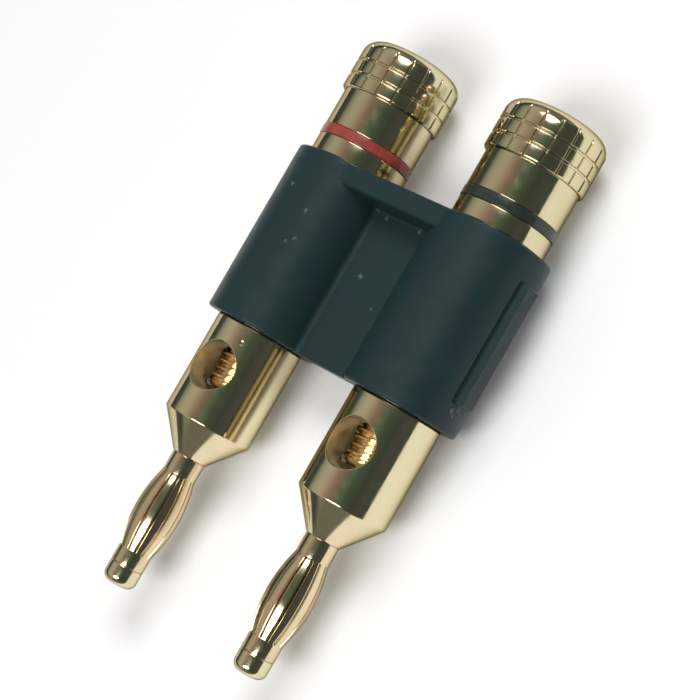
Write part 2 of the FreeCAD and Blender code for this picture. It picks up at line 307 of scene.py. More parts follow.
def settle(piece, body, slot, *nodes):
    """Let a finished piece ride on its body in place of the plain solids."""
    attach(piece, body)
    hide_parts(*nodes)


def node_in(nodes, kind, **inputs):
    """A new shader node with some of its inputs set."""
    node = nodes.new(kind)
    for name, content in inputs.items():
        node.inputs[name.replace("_", " ")].default_value = content
    return node


def math_node(nodes, links, operation, first, second=None):
    """A maths node on one or two sources; a source is a socket or a number."""
    node = nodes.new("ShaderNodeMath")
    node.operation = operation
    for slot, source in enumerate((first, second)):
        if isinstance(source, (int, float)):
            node.inputs[slot].default_value = source
        elif source is not None:
            links.new(source, node.inputs[slot])
    return node.outputs[0]


def new_material(name):
    """A node material with its principled shader."""
    material = bpy.data.materials.new(name)
    material.use_nodes = True
    shader = material.node_tree.nodes["Principled BSDF"]
    return material, material.node_tree.nodes, material.node_tree.links, shader


def grain(nodes, links, pattern, stretch=(1, 1, 1)):
    """Noise in the object's own space; a pattern is its waves per millimetre and its detail."""
    scale, detail = pattern
    coords = nodes.new("ShaderNodeTexCoord")
    mapping = nodes.new("ShaderNodeMapping")
    mapping.inputs["Scale"].default_value = [scale * s / MM for s in stretch]
    texture = node_in(nodes, "ShaderNodeTexNoise", Scale=1.0, Detail=detail)
    links.new(coords.outputs["Object"], mapping.inputs["Vector"])
    links.new(mapping.outputs["Vector"], texture.inputs["Vector"])
    return texture.outputs["Fac"]


def remap(nodes, links, source, span, result, smooth=False):
    """Map a span of a source's values to a result span, held at both ends."""
    ranged = nodes.new("ShaderNodeMapRange")
    if smooth:
        ranged.interpolation_type = "SMOOTHSTEP"
    ranged.inputs["From Min"].default_value = span[0]
    ranged.inputs["From Max"].default_value = span[1]
    ranged.inputs["To Min"].default_value = result[0]
    ranged.inputs["To Max"].default_value = result[1]
    links.new(source, ranged.inputs["Value"])
    return ranged.outputs["Result"]


# Where noise has most of its values
NOISE_SPAN = (0.32, 0.68)


def colour_ramp(nodes, links, source, stops):
    """Blend colours by a source's value; a stop is a place from 0 to 1 and a colour."""
    ramp = nodes.new("ShaderNodeValToRGB")
    elements = ramp.color_ramp.elements
    while len(elements) < len(stops):
        elements.new(0.5)
    for k, (place, colour) in enumerate(stops):
        elements[k].position = place
        elements[k].color = (*colour, 1)
    links.new(source, ramp.inputs["Fac"])
    return ramp.outputs["Color"]


def tints(nodes, links, source, colours):
    """Blend colours placed evenly over the values that noise has."""
    low, high = NOISE_SPAN
    gaps = len(colours) - 1
    stops = [(low + (high - low) * k / gaps, colour) for k, colour in enumerate(colours)]
    return colour_ramp(nodes, links, source, stops)


def mixed(nodes, links, share, first, second, mode="MIX"):
    """Mix two colours; each is a socket or a plain colour."""
    mix = nodes.new("ShaderNodeMix")
    mix.data_type = "RGBA"
    mix.blend_type = mode
    for name, source in (("A", first), ("B", second)):
        socket = next(s for s in mix.inputs if s.name == name and s.type == "RGBA")
        if isinstance(source, tuple):
            socket.default_value = (*source, 1)
        else:
            links.new(source, socket)
    if isinstance(share, (int, float)):
        mix.inputs["Factor"].default_value = share
    else:
        links.new(share, mix.inputs["Factor"])
    return next(s for s in mix.outputs if s.type == "RGBA")


def distance_to(nodes, links, spot):
    """How far a point of the surface is from a spot in the object's own space."""
    coords = nodes.new("ShaderNodeTexCoord")
    apart = nodes.new("ShaderNodeVectorMath")
    apart.operation = "DISTANCE"
    apart.inputs[1].default_value = spot
    links.new(coords.outputs["Object"], apart.inputs[0])
    return apart.outputs["Value"]


def ray_share(nodes, links, *kinds):
    """1 for rays of the kinds that are named and 0 for all others."""
    path = nodes.new("ShaderNodeLightPath")
    share = path.outputs[kinds[0]]
    for kind in kinds[1:]:
        share = math_node(nodes, links, "MAXIMUM", share, path.outputs[kind])
    return share


def bump(nodes, links, height, distance, strength, below=None):
    """A bump whose depth is given in millimetres."""
    node = nodes.new("ShaderNodeBump")
    node.inputs["Distance"].default_value = distance * MM
    node.inputs["Strength"].default_value = strength
    links.new(height, node.inputs["Height"])
    if below is not None:
        links.new(below, node.inputs["Normal"])
    return node.outputs["Normal"]


# Noise patterns: waves per millimetre and detail
GILT_DRIFT = (0.35, 3)
GILT_REFLECTION_STREAKS = (0.9, 2)
GILT_HAZE = (0.9, 5)
GILT_TURNING = (3.0, 3)
GILT_RIPPLE = (0.5, 2)
BLOCK_DRIFT = (0.16, 3)
BLOCK_SHEEN = (0.6, 5)
BLOCK_GRAIN = (7.0, 4)
BLOCK_WAVES = (0.45, 2)
SCUFF_AND_GLINT_RAGS = (2.2, 3)
RING_DRIFT = (0.8, 3)
RING_MARKS = (2.5, 5)

# The share of its waves that a stretched pattern keeps across the plugs, along them and upward
REFLECTION_STREAK_STRETCH = (1, 0.06, 1)
TURNING_STRETCH = (0.02, 1, 0.02)
RING_STRETCH = (1, 0.3, 1)

# Bumps: depth in millimetres and strength. The turning marks' depth comes with each finish.
TURNING_STRENGTH = 0.35
RIPPLE_BUMP = (0.004, 0.3)
GRAIN_BUMP = (0.012, 0.5)
WAVES_BUMP = (0.05, 0.35)
SCUFF_BUMP = (0.12, 0.9)
RING_BUMP = (0.01, 0.3)

# Least and most roughness, as shares of a gilt surface's or a colour ring's own
GILT_DULLING = (0.7, 1.4)
RING_DULLING = (0.8, 1.5)

# Three near shades of each gilt surface
TURNED_GOLD = [(0.76, 0.69, 0.44), (0.79, 0.69, 0.46), (0.82, 0.68, 0.47)]
SHEET_GOLD = [(0.74, 0.64, 0.41), (0.79, 0.65, 0.43), (0.82, 0.63, 0.44)]
KNOB_GOLD = [(0.70, 0.64, 0.40), (0.73, 0.64, 0.42), (0.76, 0.63, 0.43)]
DRILLED_GOLD = [(0.76, 0.74, 0.56), (0.79, 0.75, 0.58), (0.81, 0.74, 0.58)]
SCREW_GOLD = [(0.80, 0.60, 0.34), (0.86, 0.65, 0.38), (0.88, 0.70, 0.44)]
# What they all share: the tint at grazing angles, and greenish and reddish lengthwise bands that
# are painted reflections
GILT_EDGE_TINT = (0.3, 0.27, 0.2, 1)
REFLECTION_STREAK_TINTS = [(0.90, 1.0, 0.92), (1.0, 1.0, 1.0), (1.0, 0.93, 0.93)]
REFLECTION_STREAK_SHARE = 0.6
# A small dent in the red plug's body, from the plug's axis and the block's front face
RED_DENT = (1.9, -1.9, 4.46)
DENT_SIZE = 0.42
DENT_DEPTH = 0.046
# Gilt finishes: shades, roughness, depth of the turning marks and the dent of one of them
GILT_FINISHES = {
    "gilt_turned": (TURNED_GOLD, 0.11, 0.002),
    "gilt_dented": (TURNED_GOLD, 0.11, 0.002, RED_DENT),
    "gilt_knob": (KNOB_GOLD, 0.12, 0.002),
    "gilt_drilled": (DRILLED_GOLD, 0.46, 0.01),
    "gilt_screw": (SCREW_GOLD, 0.16, 0.004),
    "gilt_sheet": (SHEET_GOLD, 0.13, 0.001),
}


def gilt_material(name, shades, roughness, mark_depth, dent=None):
    """Polished gold plate on brass: faint turning rings, long colour bands painted in as
    reflections, and soft haze.
    """
    material, nodes, links, shader = new_material(name)
    shader.inputs["Metallic"].default_value = 1.0
    shader.inputs["Specular Tint"].default_value = GILT_EDGE_TINT
    drift = grain(nodes, links, GILT_DRIFT)
    gold = tints(nodes, links, drift, shades)
    # Painted reflections: greenish and reddish lengthwise bands over the gold
    reflection_streaks = grain(nodes, links, GILT_REFLECTION_STREAKS, stretch=REFLECTION_STREAK_STRETCH)
    reflection_cast = tints(nodes, links, reflection_streaks, REFLECTION_STREAK_TINTS)
    tinted = mixed(nodes, links, REFLECTION_STREAK_SHARE, gold, reflection_cast, "MULTIPLY")
    links.new(tinted, shader.inputs["Base Color"])
    haze = grain(nodes, links, GILT_HAZE)
    dulled = remap(nodes, links, haze, NOISE_SPAN, [roughness * part for part in GILT_DULLING])
    links.new(dulled, shader.inputs["Roughness"])
    turning = grain(nodes, links, GILT_TURNING, stretch=TURNING_STRETCH)
    ripple = grain(nodes, links, GILT_RIPPLE)
    surface = bump(nodes, links, turning, mark_depth, TURNING_STRENGTH)
    surface = bump(nodes, links, ripple, *RIPPLE_BUMP, below=surface)
    if dent:
        height = dent_height(nodes, links, dent)
        surface = bump(nodes, links, height, DENT_DEPTH, 1.0, below=surface)
    links.new(surface, shader.inputs["Normal"])
    return material


def dent_height(nodes, links, spot):
    """A round dent at a place on the red plug."""
    away = distance_to(nodes, links, plug_frame("red") @ (Vector(spot) * MM))
    return remap(nodes, links, away, (0, DENT_SIZE * MM), (0, 1), smooth=True)


# Scuff marks with painted glints on the block: pale spots that stand in for highlights at the
# recess's corners and the rib's end, over small dents. Each has its place from the block's middle,
# front face and axis height, and its size
SCUFF_AND_GLINT_SPOTS = (
    ((-1.94, 16.3, 1.7), 0.50),
    ((2.36, 16.4, 1.6), 0.45),
    ((-7.86, 12.82, 6.02), 0.50),
    ((-7.45, 9.79, 5.89), 0.42),
    ((-8.1, 9.2, 6.1), 0.36),
    ((-1.16, 9.79, 1.6), 0.55),
    ((1.9, 7.4, 1.6), 0.35),
    ((-11.05, 14.74, 6.06), 0.40),
    ((15.66, 2.2, 1.2), 0.60),
    ((15.72, 2.7, 0.5), 0.65),
    ((15.70, 1.8, 0.8), 0.45),
    ((15.76, 2.3, -0.1), 0.50),
)
# The pale colour painted into the spots as glints
SCUFF_AND_GLINT_PALE = (0.10, 0.135, 0.14)
# How far a spot's rim wanders, in millimetres, and the shares of its size between which it fades
SCUFF_AND_GLINT_WANDER = 0.3
SCUFF_AND_GLINT_FADE = (0.05, 0.7)
BLOCK_BLACKS = [(0.016, 0.030, 0.036), (0.012, 0.034, 0.037), (0.015, 0.034, 0.031)]
BLOCK_ROUGHNESS = (0.36, 0.48)
BLOCK_SPECULAR = 0.24


def scuff_and_glint_share(nodes, links, place):
    """Share of the block's skin in the small ragged spots that are painted pale as glints and
    dented as scuff marks.
    """
    ragged = grain(nodes, links, SCUFF_AND_GLINT_RAGS)
    wander = remap(nodes, links, ragged, (0, 1), (-SCUFF_AND_GLINT_WANDER * MM, SCUFF_AND_GLINT_WANDER * MM))
    total = 0.0
    for spot, size in SCUFF_AND_GLINT_SPOTS:
        away = distance_to(nodes, links, place @ (Vector(spot) * MM))
        shaken = math_node(nodes, links, "ADD", away, wander)
        fade = [share * size * MM for share in SCUFF_AND_GLINT_FADE]
        spot_share = remap(nodes, links, shaken, fade, (1, 0), smooth=True)
        total = math_node(nodes, links, "MAXIMUM", total, spot_share)
    return total


def rubber_material(place):
    """Soft black moulding: fine grain, slow waves, an uneven sheen and a few scuff marks painted
    pale as glints.
    """
    material, nodes, links, shader = new_material("block_soft_black")
    tone = grain(nodes, links, BLOCK_DRIFT)
    blacks = tints(nodes, links, tone, BLOCK_BLACKS)
    scuff_and_glint = scuff_and_glint_share(nodes, links, place)
    # The spots get a pale painted highlight colour
    links.new(mixed(nodes, links, scuff_and_glint, blacks, SCUFF_AND_GLINT_PALE), shader.inputs["Base Color"])
    sheen = grain(nodes, links, BLOCK_SHEEN)
    dulled = remap(nodes, links, sheen, NOISE_SPAN, BLOCK_ROUGHNESS)
    links.new(dulled, shader.inputs["Roughness"])
    shader.inputs["Specular IOR Level"].default_value = BLOCK_SPECULAR
    fine = grain(nodes, links, BLOCK_GRAIN)
    slow = grain(nodes, links, BLOCK_WAVES)
    skin = bump(nodes, links, fine, *GRAIN_BUMP)
    skin = bump(nodes, links, slow, *WAVES_BUMP, below=skin)
    skin = bump(nodes, links, scuff_and_glint, *SCUFF_BUMP, below=skin)
    links.new(skin, shader.inputs["Normal"])
    return material


# Colour rings: two near shades and the roughness of each
RING_FINISHES = {
    "red": ([(0.27, 0.045, 0.034), (0.36, 0.065, 0.048)], 0.24),
    "black": ([(0.022, 0.030, 0.026), (0.032, 0.038, 0.033)], 0.2),
}


def ring_material(name, colours, roughness):
    """Glossy moulded ring with a little colour drift and fine scuff marks."""
    material, nodes, links, shader = new_material(name)
    tone = grain(nodes, links, RING_DRIFT)
    links.new(tints(nodes, links, tone, colours), shader.inputs["Base Color"])
    marks = grain(nodes, links, RING_MARKS, stretch=RING_STRETCH)
    dulled = remap(nodes, links, marks, NOISE_SPAN, [roughness * part for part in RING_DULLING])
    links.new(dulled, shader.inputs["Roughness"])
    links.new(bump(nodes, links, marks, *RING_BUMP), shader.inputs["Normal"])
    return material


# The table, with its half width in metres
TABLE_HALF = 4.0
TABLE_WHITES = [(0.89, 0.89, 0.89), (0.91, 0.91, 0.91)]
TABLE_MOTTLE = 30.0
TABLE_ROUGHNESS = 0.9
# How much white it adds for the camera and in reflections, near the plug and far from it, and
# the distances in metres between which that grows
TABLE_LIFT = 0.095
FAR_LIFT = 0.9
LIFT_SPAN = (0.1, 0.9)


def table_material():
    """White table that shows white to the camera and in reflections, and keeps the shadow."""
    material, nodes, links, shader = new_material("white_table")
    tone = node_in(nodes, "ShaderNodeTexNoise", Scale=TABLE_MOTTLE, Detail=3.0)
    whites = tints(nodes, links, tone.outputs["Fac"], TABLE_WHITES)
    links.new(whites, shader.inputs["Base Color"])
    shader.inputs["Roughness"].default_value = TABLE_ROUGHNESS
    seen = ray_share(nodes, links, "Is Camera Ray", "Is Glossy Ray", "Is Transmission Ray")
    away = distance_to(nodes, links, (0, 0, 0))
    lift = remap(nodes, links, away, LIFT_SPAN, (TABLE_LIFT, FAR_LIFT), smooth=True)
    shader.inputs["Emission Color"].default_value = (1, 1, 1, 1)
    links.new(math_node(nodes, links, "MULTIPLY", seen, lift), shader.inputs["Emission Strength"])
    return material


def make_contact_body(colour, gilt, drilled):
    """Turned body: neck, shoulder, cylinder with the wire hole right through, and nose cone."""
    place = plug_frame(colour)
    radius, cone_end, top = reach(colour + "_contact_body")
    stud_radius, stud_end, _ = reach(colour + "_clamp_stud")
    bore = stud_radius + STUD_BORE_GAP
    bore_end = stud_end - STUD_END_GAP
    neck = NECK_DIA / 2
    groove_low = (top - NECK_GROOVE_WIDTH) / 2
    groove_high = (top + NECK_GROOVE_WIDTH) / 2
    outline = rounded([
        (0, bore_end, 0),
        (bore, bore_end, TINY_ROUND),
        (bore, top, SMALL_ROUND),
        (neck, top, SMALL_ROUND),
        (neck, groove_high, TINY_ROUND),
        (neck - NECK_GROOVE_DEPTH, groove_high, TINY_ROUND),
        (neck - NECK_GROOVE_DEPTH, groove_low, TINY_ROUND),
        (neck, groove_low, TINY_ROUND),
        (neck, 0, TINY_ROUND),
        (radius, 0, SHOULDER_ROUND),
        (radius, -BODY_LENGTH, CONE_EDGE),
        (CONE_END_DIA / 2, cone_end, CONE_END_ROUND),
        (0, cone_end, 0),
    ])
    bm = bmesh.new()
    lathe(bm, outline, even_angles(TURN_STEPS))
    piece = new_piece(colour + "_turned_body", bm, Matrix.Identity(4), gilt)
    cut_wire_hole(piece, radius)
    piece.data.materials.append(drilled)
    shade_turned_body(piece.data, radius)
    piece.data.transform(place)
    settle(piece, "root", "gilt_brass", colour + "_contact_body")


def side_height(across, body_radius):
    """Height of the body's side over the plane through its axis, at a distance across."""
    return math.sqrt(body_radius ** 2 - across ** 2)


def flared_drill(body_radius):
    """A drill that widens where it leaves the body's side, so that the rims come out rounded."""
    hole = WIRE_HOLE_DIA / 2
    edge = WIRE_HOLE_EDGE
    clear = body_radius + DRILL_OVERSHOOT

    def ring(bm, share, side):
        """A ring of the drill: shares 0 to 1 run over the rounded rim, more is past the body."""
        verts = []
        for angle in even_angles(WIRE_HOLE_STEPS):
            across = math.sin(angle)
            corner = side_height(hole * across, body_radius)
            rim = side_height((hole + edge) * across, body_radius)
            wide = hole + edge + DRILL_FLARE
            height = clear
            if share <= 1:
                wide = hole + edge * share ** 2
                height = (1 - share) ** 2 * (corner - edge) + 2 * share * (1 - share) * corner
                height += share ** 2 * rim
            verts.append(bm.verts.new((wide * across * MM,
                                       (wide * math.cos(angle) - WIRE_HOLE_DEPTH) * MM,
                                       side * height * MM)))
        return verts

    bm = bmesh.new()
    shares = [0, 0.25, 0.5, 0.75, 1, 2]
    rings = [ring(bm, share, -1) for share in reversed(shares)]
    rings += [ring(bm, share, 1) for share in shares]
    join_rings(bm, rings)
    bm.faces.new(rings[0])
    bm.faces.new(rings[-1])
    bmesh.ops.recalc_face_normals(bm, faces=bm.faces)
    mesh = bpy.data.meshes.new("drill")
    bm.to_mesh(mesh)
    bm.free()
    drill = bpy.data.objects.new("drill", mesh)
    bpy.context.scene.collection.objects.link(drill)
    return drill


def cut_wire_hole(piece, body_radius):
    """Bore the wire hole across the body."""
    drill = flared_drill(body_radius)
    piece.modifiers.clear()
    cut = piece.modifiers.new("wire_hole", "BOOLEAN")
    cut.operation = "DIFFERENCE"
    cut.object = drill
    cut.solver = "EXACT"
    graph = bpy.context.evaluated_depsgraph_get()
    graph.update()
    mesh = bpy.data.meshes.new_from_object(piece.evaluated_get(graph))
    piece.modifiers.clear()
    piece.data = mesh
    bpy.data.objects.remove(drill)
    smooth_faces(mesh)


def shade_turned_body(mesh, body_radius):
    """Exact normals on the body's side and in the wire hole, which gets its own material."""
    hole = WIRE_HOLE_DIA / 2
    normals = [Vector(corner.vector) for corner in mesh.corner_normals]
    points = [vertex.co / MM for vertex in mesh.vertices]

    def from_axis(p):
        return Vector((p.x, 0, p.z))

    def from_hole(p):
        return Vector((p.x, p.y + WIRE_HOLE_DEPTH, 0))

    for face in mesh.polygons:
        corners = [points[i] for i in face.vertices]
        on_side = all(abs(from_axis(p).length - body_radius) < ON_SURFACE for p in corners)
        in_hole = all(abs(from_hole(p).length - hole) < ON_SURFACE for p in corners)
        face.material_index = 1 if in_hole else 0
        for loop, p in zip(face.loop_indices, corners):
            if on_side:
                normals[loop] = from_axis(p).normalized()
            elif in_hole:
                normals[loop] = -from_hole(p).normalized()
    mesh.normals_split_custom_set([tuple(n) for n in normals])


def make_contact_spring(colour, gilt):
    """Lantern spring: two collars and a cage of bowed leaves between them."""
    place = plug_frame(colour)
    bulge, sleeve_end, cone_end = reach(colour + "_contact_spring")
    collar = COLLAR_DIA / 2
    bore = collar - SLEEVE_WALL
    rear = cone_end - REAR_COLLAR_LENGTH
    front = rear - LEAF_LENGTH
    bm = bmesh.new()
    for high, low in ((cone_end, rear), (front, sleeve_end)):
        outline = rounded([
            (bore, high, SLEEVE_BORE_EDGE),
            (collar, high, SLEEVE_EDGE),
            (collar, low, SLEEVE_EDGE),
            (bore, low, SLEEVE_BORE_EDGE),
        ])
        lathe(bm, outline, even_angles(TURN_STEPS), closed=True)
    for k in range(LEAF_COUNT):
        add_leaf(bm, math.tau * (k + 0.5) / LEAF_COUNT, rear, front, bulge)
    piece = new_piece(colour + "_lantern_spring", bm, place, gilt)
    settle(piece, "root", "gilt_spring", colour + "_contact_spring")


def leaf_section(radius, half_angle):
    """A flat leaf's cross-section as (radius, angle) points, with its outer edges rounded."""
    flat = radius * math.cos(half_angle)
    width = radius * math.sin(half_angle)
    soft = LEAF_EDGE
    corner = soft * LEAF_CORNER_SHARE
    outer = [(flat, (width - soft) * share) for share in (-1, -0.5, 0, 0.5, 1)]
    outer += [(flat - corner, width - corner), (flat - soft, width)]
    inner = [(flat - SLEEVE_WALL, width * share) for share in (1, 0.5, 0, -0.5, -1)]
    inner += [(flat - soft, -width), (flat - corner, -width + corner)]
    return [(math.hypot(out, side), math.atan2(side, out)) for out, side in outer + inner]


def add_leaf(bm, middle, rear, front, bulge):
    """One spring leaf, bowed out on an arc between the collars, its roots inside them."""
    collar = COLLAR_DIA / 2
    rise = bulge - collar
    bow = (LEAF_LENGTH ** 2 / 4 + rise ** 2) / (2 * rise)
    centre = (rear + front) / 2
    half_length = LEAF_LENGTH / 2 + LEAF_ROOT
    rings = []
    for k in range(LEAF_STEPS + 1):
        height = centre + half_length * (1 - 2 * k / LEAF_STEPS)
        off_centre = min(abs(height - centre), LEAF_LENGTH / 2)
        radius = bulge - bow + math.sqrt(bow ** 2 - off_centre ** 2) - LEAF_INSET
        half_angle = math.pi / LEAF_COUNT - SLOT_WIDTH / 2 / radius
        section = leaf_section(radius, half_angle)
        rings.append(turned_ring(bm, [r for r, _ in section], [height] * len(section),
                                 [middle + angle for _, angle in section]))
    join_rings(bm, rings)
    bm.faces.new(rings[0])
    bm.faces.new(rings[-1])


def make_centre_pin(colour, gilt):
    """Rod through the spring with the rounded button that leads into a socket."""
    place = plug_frame(colour)
    radius, tip_end, top = reach(colour + "_centre_pin")
    _, sleeve_end, _ = reach(colour + "_contact_spring")
    rod = COLLAR_DIA / 2 - SLEEVE_WALL - ASSEMBLY_GAP
    outline = rounded([
        (0, top, 0),
        (rod, top, ROD_END_ROUND),
        (rod, sleeve_end, TINY_ROUND),
        (radius, sleeve_end, TIP_EDGE),
        (radius, tip_end, TIP_ROUND),
        (0, tip_end, 0),
    ], steps=TIP_STEPS)
    bm = bmesh.new()
    lathe(bm, outline, even_angles(TURN_STEPS))
    piece = new_piece(colour + "_pin_and_tip", bm, place, gilt)
    settle(piece, "root", "gilt_brass", colour + "_centre_pin")


def make_clamp_stud(colour, gilt):
    """Threaded rod of the clamp screw, M5 by 0.8."""
    place = plug_frame(colour)
    radius, low, high = reach(colour + "_clamp_stud")
    step = THREAD_PITCH / THREAD_ROWS
    count = int((high - low) / step)
    heights = [low] + [low + step * k for k in range(1, count)] + [high]

    def thread_radius(point, angle):
        phase = (point.y / THREAD_PITCH - angle / math.tau) % 1
        off_crest = min(phase, 1 - phase) * 2
        sink = min(1, max(0, (off_crest - CREST_SHARE) / (ROOT_SHARE - CREST_SHARE)))
        chamfer = radius - STUD_CHAMFER + (point.y - low)
        return min(radius - THREAD_DEPTH * sink, chamfer)

    outline = [Vector((0, low))] + [Vector((radius, y)) for y in heights] + [Vector((0, high))]
    bm = bmesh.new()
    lathe(bm, outline, even_angles(THREAD_STEPS), radius_at=thread_radius)
    piece = new_piece(colour + "_screw_thread", bm, place, gilt)
    settle(piece, colour + "_stud", "gilt_brass", colour + "_clamp_stud")


def knurl_angles(radius):
    """Angles round the head: close together across each groove, wide over each pad."""
    pitch = math.tau / KNURL_COUNT
    half = KNURL_WIDTH / 2
    offsets = [half + past for past in KNURL_POINTS]
    across = [-o / radius for o in reversed(offsets)] + [0] + [o / radius for o in offsets]
    pad = pitch - across[-1] + across[0]
    over = [across[-1] + pad * k / PAD_STEPS for k in range(1, PAD_STEPS)]
    return [pitch * k + a for k in range(KNURL_COUNT) for a in across + over]


def band_groove_corners(middle, radius, floor):
    """Corners of one groove turned round the head."""
    half = BAND_GROOVE_WIDTH / 2
    return [
        (radius, middle - half - BAND_SLOPE, PAD_EDGE),
        (floor, middle - half + BAND_SLOPE, TINY_ROUND),
        (floor, middle + half - BAND_SLOPE, TINY_ROUND),
        (radius, middle + half + BAND_SLOPE, PAD_EDGE),
    ]


def knob_corners(colour):
    """The knob's outline: bore, underside, barrel with the ring's seat, banded head and crown."""
    radius, foot, top = reach(colour + "_clamp_knob")
    _, ring_low, ring_high = reach(colour + "_marking_ring")
    stud_radius, _, stud_top = reach(colour + "_clamp_stud")
    bore = stud_radius + STUD_BORE_GAP
    barrel = BARREL_DIA / 2
    seat = barrel - RING_SEAT_DEPTH
    head_low = foot + BARREL_LENGTH
    crown_low = top - CROWN_HEIGHT
    floor = radius - KNURL_DEPTH
    corners = [
        (0, stud_top + STUD_BORE_GAP, 0),
        (bore, stud_top + STUD_BORE_GAP, TINY_ROUND),
        (bore, foot, KNOB_BORE_EDGE),
        (barrel, foot, BARREL_EDGE),
        (barrel, ring_low - ASSEMBLY_GAP, RING_SEAT_EDGE),
        (seat, ring_low - ASSEMBLY_GAP, TINY_ROUND),
        (seat, ring_high + ASSEMBLY_GAP, TINY_ROUND),
        (barrel, ring_high + ASSEMBLY_GAP, RING_SEAT_EDGE),
        (barrel, head_low, SMALL_ROUND),
        (radius, head_low, HEAD_EDGE),
    ]
    corners += band_groove_corners(head_low + BAND_PITCH, radius, floor)
    corners += band_groove_corners(head_low + BAND_PITCH * 2, radius, floor)
    crown_high = (radius - CROWN_INSET, top)
    corners += arc_corners((radius, crown_low), crown_high, CROWN_RADIUS, CROWN_STEPS)
    corners.append((0, top, 0))
    return corners


def make_clamp_knob(colour, gilt):
    """Clamp knob: a plain barrel with the ring's seat, and a head cut into square pads."""
    place = plug_frame(colour)
    radius, foot, _ = reach(colour + "_clamp_knob")
    head_low = foot + BARREL_LENGTH
    floor = radius - KNURL_DEPTH
    pitch = math.tau / KNURL_COUNT

    def head_radius(point, angle):
        """A point's radius with the lengthwise grooves cut in; the pads keep theirs."""
        if point.y < head_low - HEAD_MARGIN or point.x < floor:
            return point.x
        aside = abs((angle + pitch / 2) % pitch - pitch / 2) * radius
        wall = (aside - KNURL_WIDTH / 2 + KNURL_WALL_FOOT) / KNURL_WALL
        cut = floor + KNURL_DEPTH * min(1, max(0, wall)) + (KNURL_DEPTH if wall > 1 else 0)
        return smooth_least(point.x, cut, KNURL_BLEND)

    bm = bmesh.new()
    lathe(bm, rounded(knob_corners(colour)), knurl_angles(radius), radius_at=head_radius)
    piece = new_piece(colour + "_knurled_knob", bm, place, gilt)
    settle(piece, colour + "_knob", "gilt_brass", colour + "_clamp_knob")


def make_marking_ring(colour, material):
    """Colour ring in the barrel's seat, a hair proud of the barrel."""
    place = plug_frame(colour)
    radius, low, high = reach(colour + "_marking_ring")
    bore = BARREL_DIA / 2 - RING_SEAT_DEPTH + ASSEMBLY_GAP
    outline = rounded([
        (bore, high, RING_BORE_EDGE),
        (radius, high, RING_EDGE),
        (radius, low, RING_EDGE),
        (bore, low, RING_BORE_EDGE),
    ])
    bm = bmesh.new()
    lathe(bm, outline, even_angles(TURN_STEPS), closed=True)
    piece = new_piece(colour + "_colour_ring", bm, place, material)
    settle(piece, colour + "_knob", colour + "_ring", colour + "_marking_ring")


